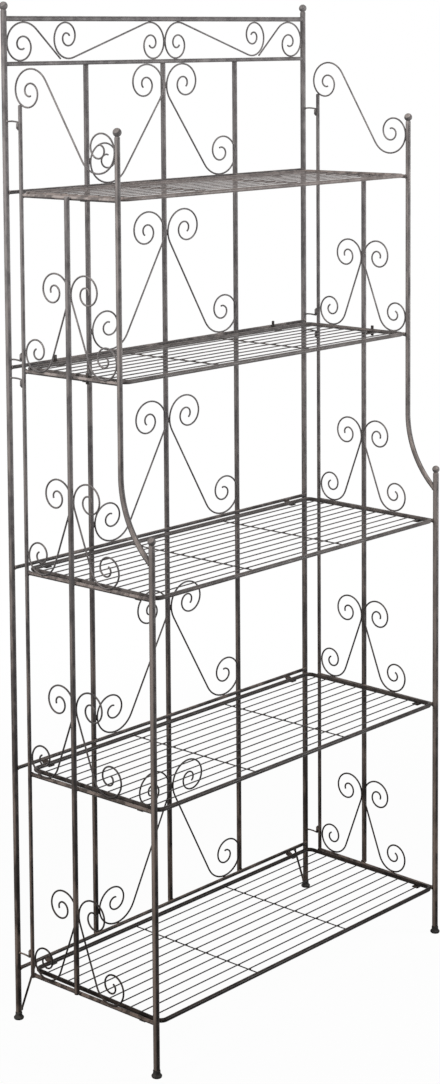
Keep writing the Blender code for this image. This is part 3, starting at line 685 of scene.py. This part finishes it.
for side, hand in (("left", -1), ("right", 1)):
    low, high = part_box(f"{side}_rear_post")
    x, y = hand * post_x, back_y - REAR_POST_Y
    bm = bmesh.new()
    rod(bm, [(x, y, low.z), (x, y, high.z + REAR_HEAD_RISE)], REAR_POST_RADIUS, sides=20)
    weld(bm, (x, y, high.z), REAR_HEAD_WELD)
    for z, way in hook_heights:
        ends = sorted((z + way * SLEEVE_NEAR, z + way * (SLEEVE_NEAR + SLEEVE_LENGTH)))
        outline = [(radius, ends[0] + inset) for radius, inset in SLEEVE_EDGE]
        outline += [(radius, ends[1] - inset) for radius, inset in SLEEVE_EDGE[::-1]]
        turned(bm, outline, x, back_y - hinge_line, sides=24, bored=True)
        for across in (-1, 1):
            seam = (x + across * SEAM_BESIDE, y + REAR_POST_RADIUS - SEAM_SINK, sum(ends) / 2)
            weld(bm, seam, SEAM_SIZE)
    piece(bm, f"{side}_hinge_post", f"{side}_panel", bronze, f"{side}_rear_post")


# Side panels' middle posts.  An upright steel bar welded to the outsides of the rails, with a pair of small
# C-scrolls of thin wire tacked to it in each of the four lower bays.
MIDDLE_OUT = 0.0045             # outside the line of the other posts
MIDDLE_Y = 0.14925              # before the back post
MIDDLE_FOOT = 0.0012            # cut end above the axis of the lowest rail
MIDDLE_LOWEST_WELD = 0.0016     # above the cut end
MIDDLE_CROSSING_WELD = (0.0016, 0.0019, 0.0024)
SIDE_DROP = 0.004               # side rails under those of the back
SIDE_LYRE_TOP = 0.174
SIDE_LYRE_CLEAR = 0.0027
SIDE_LYRE_GAP = 0.0003
SIDE_HOOK = 2
SIDE_UPPER = (0.0390, 0.0295, 0.0370)           # a coil's place in from two edges, and its outer reach
SIDE_LOWER = (0.0260, 0.0390, 0.0365)
SIDE_POST_TACK, SIDE_FOOT_TACK = (0.0020, 0.0016, 0.0060), (0.0018, 0.0034, 0.0014)
SIDE_TACK_OUT, SIDE_TACK_OFF = 0.0014, 0.0005   # post tacks outside the wire, and off the post

across = MIDDLE_Y - REAR_POST_Y - FRONT_BAR_RADIUS - WIRE_RADIUS - SIDE_LYRE_GAP
upper = (SIDE_UPPER[0], SIDE_LYRE_TOP - SIDE_UPPER[1])
lower = (across - SIDE_LOWER[0], SIDE_LOWER[1])
side_line = scroll(upper, SIDE_UPPER[2], lower, SIDE_LOWER[2], False, SIDE_HOOK)
side_line = stretched(side_line, SIDE_LYRE_CLEAR, across, LYRE_FOOT, SIDE_LYRE_TOP)
for side, hand in (("left", -1), ("right", 1)):
    x, x_out, y = hand * post_x, hand * (post_x + MIDDLE_OUT), back_y - MIDDLE_Y
    foot = rail_heights[-1] - SIDE_DROP + MIDDLE_FOOT
    bm = bmesh.new()
    rod(bm, [(x_out, y, foot), (x_out, y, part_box(f"{side}_middle_post")[1].z)], FRONT_BAR_RADIUS, sides=24)
    for height in rail_heights:
        z = max(height - SIDE_DROP, foot + MIDDLE_LOWEST_WELD)
        for way in (-1, 1):
            weld(bm, (x_out - hand * FRONT_BAR_RADIUS * CROSSING_NEAR,
                      y + way * FRONT_BAR_RADIUS * CROSSING_BESIDE, z), MIDDLE_CROSSING_WELD)
    post_faces = set(bm.faces)
    for height in rail_heights[1:]:
        for way in (-1, 1):
            z = height - SIDE_DROP
            rod(bm, [(x, y + way * u, z + v) for u, v in side_line], WIRE_RADIUS, sides=14)
            u, v = extremes(side_line)[0]
            weld(bm, (x + hand * SIDE_TACK_OUT, y + way * (u + SIDE_TACK_OFF), z + v), SIDE_POST_TACK)
            u, v = extremes(side_line)[2]
            weld(bm, (x - hand * LYRE_TACK_DOWN, y + way * u, z + v - LYRE_TACK_DOWN), SIDE_FOOT_TACK)
    piece(bm, f"{side}_scrolled_post", f"{side}_panel", bronze, f"{side}_middle_post",
          post_faces, wire_bronze)


# Lower front posts.  Round steel tubes that stand on the two front feet, each closed by a turned ball above
# the third tier; the lower side rails are welded to them.
LOWER_BALL_RADIUS = 0.0070
STANDING_LOWER = ((0.008, 0.0066, 0.006), (0.024, 0.0195, 0.018), (0.205, 0.158, 0.132))

# The lower posts carry a strong painted highlight: a pale coat at the foot, and a large least share of it on
# the side turned to the lamps.
standing_bronze = antiqued("antiqued_standing_bronze", UPPER_PAINT, STANDING_LOWER, least_highlight=0.6)
for side, hand in (("left", -1), ("right", 1)):
    x, y = hand * post_x, back_y - LOWER_DEPTH
    foot_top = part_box(f"{side}_front_foot")[1].z
    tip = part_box(f"{side}_lower_front_post")[1].z
    finial = ball_on_neck(tip, LOWER_BALL_RADIUS, LOWER_POST_RADIUS)
    bm = bmesh.new()
    turned(bm, tube_end(LOWER_POST_RADIUS, foot_top) + finial, x, y)
    piece(bm, f"{side}_standing_post", f"{side}_panel", standing_bronze,
          f"{side}_lower_front_post")


# Upper front posts.  Round steel bars with a turned ball at the head, straight past the two upper tiers, then
# bent forward in one sweep and welded to the lower posts.
SWEEP_RADIUS = 0.180
SWEEP_END = 0.055               # weld to the lower post above the third rail
SWEEP_STEPS = 22
SWEEP_BEAD = 0.0010
SWEEP_BEAD_OUT = 1.05           # of the lower post's radius
FINIAL_SOCKET = (0.98, 0.004)   # sleeve of the finial in the bar: share of its radius, length
SWEPT_UPPER = ((0.070, 0.064, 0.064), (0.128, 0.119, 0.118), (0.330, 0.292, 0.276))

# The swept posts carry a painted highlight as well: a darker ground and a paler coat at the head than the
# other posts, and a larger least share of that coat on the side turned to the lamps.
swept_bronze = antiqued("antiqued_swept_bronze", SWEPT_UPPER, STANDING_LOWER, least_highlight=0.45)
for side, hand in (("left", -1), ("right", 1)):
    x, y = hand * post_x, back_y - UPPER_DEPTH
    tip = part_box(f"{side}_upper_front_post")[1].z
    finial = ball_on_neck(tip, BALL_RADIUS, FRONT_BAR_RADIUS)
    meet = rail_heights[2] + SWEEP_END
    bend = math.acos(1 - (LOWER_DEPTH - UPPER_DEPTH) / SWEEP_RADIUS)
    path = [(x, y, finial[0][1])]
    for k in range(SWEEP_STEPS + 1):
        a = bend * k / SWEEP_STEPS
        path.append((x, y - SWEEP_RADIUS * (1 - math.cos(a)),
                     meet + SWEEP_RADIUS * (math.sin(bend) - math.sin(a))))
    bm = bmesh.new()
    rod(bm, path, FRONT_BAR_RADIUS, sides=24)
    turned(bm, [(FRONT_BAR_RADIUS * FINIAL_SOCKET[0], finial[0][1] - FINIAL_SOCKET[1])] + finial, x, y)
    lean = Vector((0.0, math.sin(bend), math.cos(bend)))
    bead(bm, (x, back_y - LOWER_DEPTH, meet), lean, Vector((0.0, -math.cos(bend), math.sin(bend))),
         FRONT_BAR_RADIUS, LOWER_POST_RADIUS * SWEEP_BEAD_OUT, size=SWEEP_BEAD)
    piece(bm, f"{side}_swept_post", f"{side}_panel", swept_bronze,
          f"{side}_upper_front_post")


# Side rails.  Level round steel bars of the side panels, welded between the rear and the front posts and to
# the middle post, each with one lug of flat strip near the front for the shelf's end.
UPPER_LUG_FRONT, LOWER_LUG_FRONT = 0.081, 0.034       # lugs behind the front posts
SHELF_RIM_SIDE = 0.0195         # axis of the shelf's rim inside the posts'
SIDE_RAIL_RADIUS = 0.0036
SIDE_BURIED = 0.0012            # of a rail's rear end in the slim rear post
SIDE_LUG_START = -0.0020        # end of the strip under the rail, from its axis
SIDE_LUG_WELD = (0.0018, 0.0040, 0.0011)
SIDE_LUG_WELD_RISE = 0.0004

for side, hand in (("left", -1), ("right", 1)):
    x = hand * (post_x - RAIL_IN)
    for level, height in enumerate(rail_heights):
        z = height - SIDE_DROP
        depth, post, behind = LOWER_DEPTH, LOWER_POST_RADIUS, LOWER_LUG_FRONT
        if level < UPPER_TIERS:
            depth, post, behind = UPPER_DEPTH, FRONT_BAR_RADIUS, UPPER_LUG_FRONT
        rear, front = back_y - REAR_POST_Y, back_y - depth
        bm = bmesh.new()
        ends = [(x, rear - REAR_POST_RADIUS + SIDE_BURIED, z), (x, front + post - BURIED, z)]
        rod(bm, ends, SIDE_RAIL_RADIUS, sides=20)
        bead(bm, (hand * post_x, front, z), (0, 1, 0), (0, 0, 1), SIDE_RAIL_RADIUS, post, hand * RAIL_IN)
        bead(bm, (hand * post_x, rear, z), (0, -1, 0), (0, 0, 1), SIDE_RAIL_RADIUS, REAR_POST_RADIUS,
             -hand * RAIL_IN)

        def place(u, v, s):
            return x - hand * u, s, v

        rail_faces = set(bm.faces)
        at = front + behind
        arm = height - RIM_BELOW_RAIL - STRIP_BELOW_RIM
        toe = SHELF_RIM_SIDE - RAIL_IN + STRIP_TOE
        flat = [(SIDE_LUG_START, arm), (toe, arm)]
        strip(bm, flat, STRIP_THICK, at - STRIP_WIDTH / 2, at + STRIP_WIDTH / 2, place)
        for way in (-1, 1):
            beside = at + way * STRIP_WIDTH * LUG_WELD_SPREAD
            weld(bm, (x, beside, arm + SIDE_LUG_WELD_RISE), SIDE_LUG_WELD)
        if level == TAB_LEVEL:
            tab(bm, SHELF_RAIL_RADIUS - TAB_LET_IN, z, at, place)
        piece(bm, f"{side}_shelf_rail_{level + 1}", f"{side}_panel", rail_bronze,
              f"{side}_rail_{level + 1}", rail_faces, lug_bronze)


# Shelves.  Loose steel grilles: a rim of round rod bent to a rectangle and closed by one butt weld, thin long
# wires welded to it at both ends, and two cross wires welded under them.
RIM_RADIUS = 0.0038
RIM_CORNER = 0.012
CORNER_STEPS = 8
RIM_WELD_X = 0.05
RIM_WELD = (0.0016, RIM_RADIUS + 0.0002, RIM_RADIUS + 0.0002)
GRID_RADIUS = 0.0011
GRID_PITCH = 0.0253
GRID_END_WELD, GRID_CROSSING_WELD = (0.0014, 0.0021, 0.0019), (0.0026, 0.0023, 0.0013)
CROSS_X = 0.125
CROSS_GAP = 0.0003
SHELF_UPPER = ((0.070, 0.063, 0.061), (0.120, 0.109, 0.106), (0.205, 0.178, 0.166))
SHELF_LOWER = ((0.005, 0.004, 0.0038), (0.010, 0.008, 0.0075), (0.036, 0.027, 0.022))
LIT_TOP_SHELF_UPPER = ((0.102, 0.088, 0.084), (0.176, 0.153, 0.146), (0.296, 0.248, 0.227))

# The shelf grilles are painted darker than the frame as painted shade, and the top one paler as painted light;
# all have the same finish.
shelf_bronze = antiqued("antiqued_shelf_bronze", SHELF_UPPER, SHELF_LOWER, rub=(0.55, 0.75))
lit_top_shelf_bronze = antiqued("antiqued_top_shelf_bronze", LIT_TOP_SHELF_UPPER, SHELF_LOWER, rub=(0.55, 0.75))
for level, height in enumerate(rail_heights):
    z = height - RIM_BELOW_RAIL
    half = post_x - SHELF_RIM_SIDE
    rear = back_y - SHELF_RIM_REAR
    front = back_y - (UPPER_DEPTH if level < UPPER_TIERS else LOWER_DEPTH)
    outline = []
    for cx, cy, first in ((half, front, -90), (half, rear, 0), (-half, rear, 90), (-half, front, 180)):
        px = cx - math.copysign(RIM_CORNER, cx)
        py = cy + (RIM_CORNER if cy == front else -RIM_CORNER)
        for k in range(CORNER_STEPS + 1):
            a = math.radians(first + 90 * k / CORNER_STEPS)
            outline.append((px + RIM_CORNER * math.cos(a), py + RIM_CORNER * math.sin(a), z))
    bm = bmesh.new()
    rod(bm, outline, RIM_RADIUS, sides=20, closed=True)
    weld(bm, (RIM_WELD_X, rear, z), RIM_WELD, sides=16)
    rows = round((rear - front) / GRID_PITCH)
    for k in range(1, rows):
        y = rear - (rear - front) * k / rows
        rod(bm, [(-half, y, z), (half, y, z)], GRID_RADIUS, sides=10)
        for hand in (-1, 1):
            weld(bm, (hand * (half - RIM_RADIUS), y, z), GRID_END_WELD, sides=8)
            weld(bm, (hand * CROSS_X, y, z - GRID_RADIUS), GRID_CROSSING_WELD, sides=8)
    for hand in (-1, 1):
        under = z - 2 * GRID_RADIUS - CROSS_GAP
        rod(bm, [(hand * CROSS_X, rear, under), (hand * CROSS_X, front, under)], GRID_RADIUS, sides=10)
    paint = lit_top_shelf_bronze if level == 0 else shelf_bronze
    piece(bm, f"wire_shelf_{level + 1}", f"shelf_{level + 1}", paint,
          f"shelf_{level + 1}")


# Studio.  A plain white floor that runs out of sight, soft light from three lamps, at the left, the front and
# the right, and the camera at the photograph's place.
FLOOR_HALF = 30.0
FLOOR_GREY = (0.42, 0.42, 0.42)
FLOOR_WHITE_NEAR = 0.97         # share of white by the stand, where its shadow shows
FLOOR_FADE = (0.6, 2.4)         # distance over which the floor turns quite white
SKY_LEVEL = 0.13                # light from all round on the stand
CAMERA_PLACE = (-2.8752, -2.5188, 1.7166)
CAMERA_YAW, CAMERA_PITCH, CAMERA_ROLL = math.radians(46.55), math.radians(4.99), math.radians(-0.55)
CAMERA_LENS, CAMERA_SENSOR = 70.87, 36.0
CAMERA_SHIFT = (0.0646, -0.2878)
# each lamp's place, the point it is turned to, its width and height, and its power
LAMPS = (("left_lamp", (-3.1, 0.3, 2.2), (0.0, 0.0, 0.95), (0.5, 1.6), 66.0),
         ("front_lamp", (-1.3, -2.6, 3.1), (0.0, 0.0, 1.10), (0.9, 0.9), 60.0),
         ("right_lamp", (1.5, -1.6, 1.2), (0.4, -0.1, 0.85), (0.5, 1.6), 60.0))


def shown_white(tree):
    """Share of white for the rays that show the floor and the background: the camera's and reflections'."""
    rays = tree.nodes.new("ShaderNodeLightPath")
    seen = rays.outputs["Is Camera Ray"]
    for ray in ("Is Glossy Ray", "Is Transmission Ray"):
        either = tree.nodes.new("ShaderNodeMath")
        either.operation = "MAXIMUM"
        tree.links.new(seen, either.inputs[0])
        tree.links.new(rays.outputs[ray], either.inputs[1])
        seen = either.outputs["Value"]
    return seen


floor_mesh = bpy.data.meshes.new("floor")
floor_mesh.from_pydata([(-FLOOR_HALF, -FLOOR_HALF, 0.0), (FLOOR_HALF, -FLOOR_HALF, 0.0),
                        (FLOOR_HALF, FLOOR_HALF, 0.0), (-FLOOR_HALF, FLOOR_HALF, 0.0)], [], [(0, 1, 2, 3)])
floor = bpy.data.objects.new("floor", floor_mesh)
bpy.context.scene.collection.objects.link(floor)
floor_white = bpy.data.materials.new("floor_white")
floor_white.use_nodes = True
tree = floor_white.node_tree
matt = tree.nodes["Principled BSDF"]
matt.inputs["Base Color"].default_value = (*FLOOR_GREY, 1.0)
matt.inputs["Roughness"].default_value = 0.9
matt.inputs["Specular IOR Level"].default_value = 0.0
glow = tree.nodes.new("ShaderNodeEmission")
distance = tree.nodes.new("ShaderNodeVectorMath")
distance.operation = "LENGTH"
tree.links.new(tree.nodes.new("ShaderNodeTexCoord").outputs["Object"], distance.inputs[0])
fade = tree.nodes.new("ShaderNodeMapRange")
fade.interpolation_type = "SMOOTHSTEP"
fade.inputs["From Min"].default_value, fade.inputs["From Max"].default_value = FLOOR_FADE
fade.inputs["To Min"].default_value, fade.inputs["To Max"].default_value = FLOOR_WHITE_NEAR, 1.0
tree.links.new(distance.outputs["Value"], fade.inputs["Value"])
share = tree.nodes.new("ShaderNodeMath")
share.operation = "MULTIPLY"
tree.links.new(fade.outputs["Result"], share.inputs[1])
tree.links.new(shown_white(tree), share.inputs[0])
mixed = tree.nodes.new("ShaderNodeMixShader")
tree.links.new(share.outputs["Value"], mixed.inputs["Fac"])
tree.links.new(matt.outputs["BSDF"], mixed.inputs[1])
tree.links.new(glow.outputs["Emission"], mixed.inputs[2])
tree.links.new(mixed.outputs["Shader"], tree.nodes["Material Output"].inputs["Surface"])
floor_mesh.materials.append(floor_white)

world = bpy.data.worlds.new("studio")
bpy.context.scene.world = world
world.use_nodes = True
tree = world.node_tree
sky = tree.nodes["Background"]
sky.inputs["Color"].default_value = (1.0, 1.0, 1.0, 1.0)
strength = tree.nodes.new("ShaderNodeMapRange")
strength.inputs["To Min"].default_value = SKY_LEVEL
strength.inputs["To Max"].default_value = 1.0
tree.links.new(shown_white(tree), strength.inputs["Value"])
tree.links.new(strength.outputs["Result"], sky.inputs["Strength"])

for name, place, aim, size, power in LAMPS:
    lamp = bpy.data.lights.new(name, "AREA")
    lamp.shape = "RECTANGLE"
    lamp.size, lamp.size_y = size
    lamp.energy = power
    hung = bpy.data.objects.new(name, lamp)
    hung.location = place
    hung.rotation_mode = "QUATERNION"
    hung.rotation_quaternion = (Vector(aim) - Vector(place)).to_track_quat("-Z", "Y")
    bpy.context.scene.collection.objects.link(hung)

camera_data = bpy.data.cameras.new("camera")
camera_data.sensor_width = CAMERA_SENSOR
camera_data.lens = CAMERA_LENS
camera_data.shift_x, camera_data.shift_y = CAMERA_SHIFT
camera = bpy.data.objects.new("camera", camera_data)
ahead = Vector((math.sin(CAMERA_YAW) * math.cos(CAMERA_PITCH), math.cos(CAMERA_YAW) * math.cos(CAMERA_PITCH),
                -math.sin(CAMERA_PITCH)))
right = Vector((math.cos(CAMERA_YAW), -math.sin(CAMERA_YAW), 0.0))
above = right.cross(ahead)
across = right * math.cos(CAMERA_ROLL) + above * math.sin(CAMERA_ROLL)
upward = above * math.cos(CAMERA_ROLL) - right * math.sin(CAMERA_ROLL)
turn = Matrix((across, upward, -ahead)).transposed().to_4x4()
camera.matrix_world = Matrix.Translation(CAMERA_PLACE) @ turn
bpy.context.scene.collection.objects.link(camera)
bpy.context.scene.camera = camera
bpy.context.scene.view_settings.view_transform = "Standard"
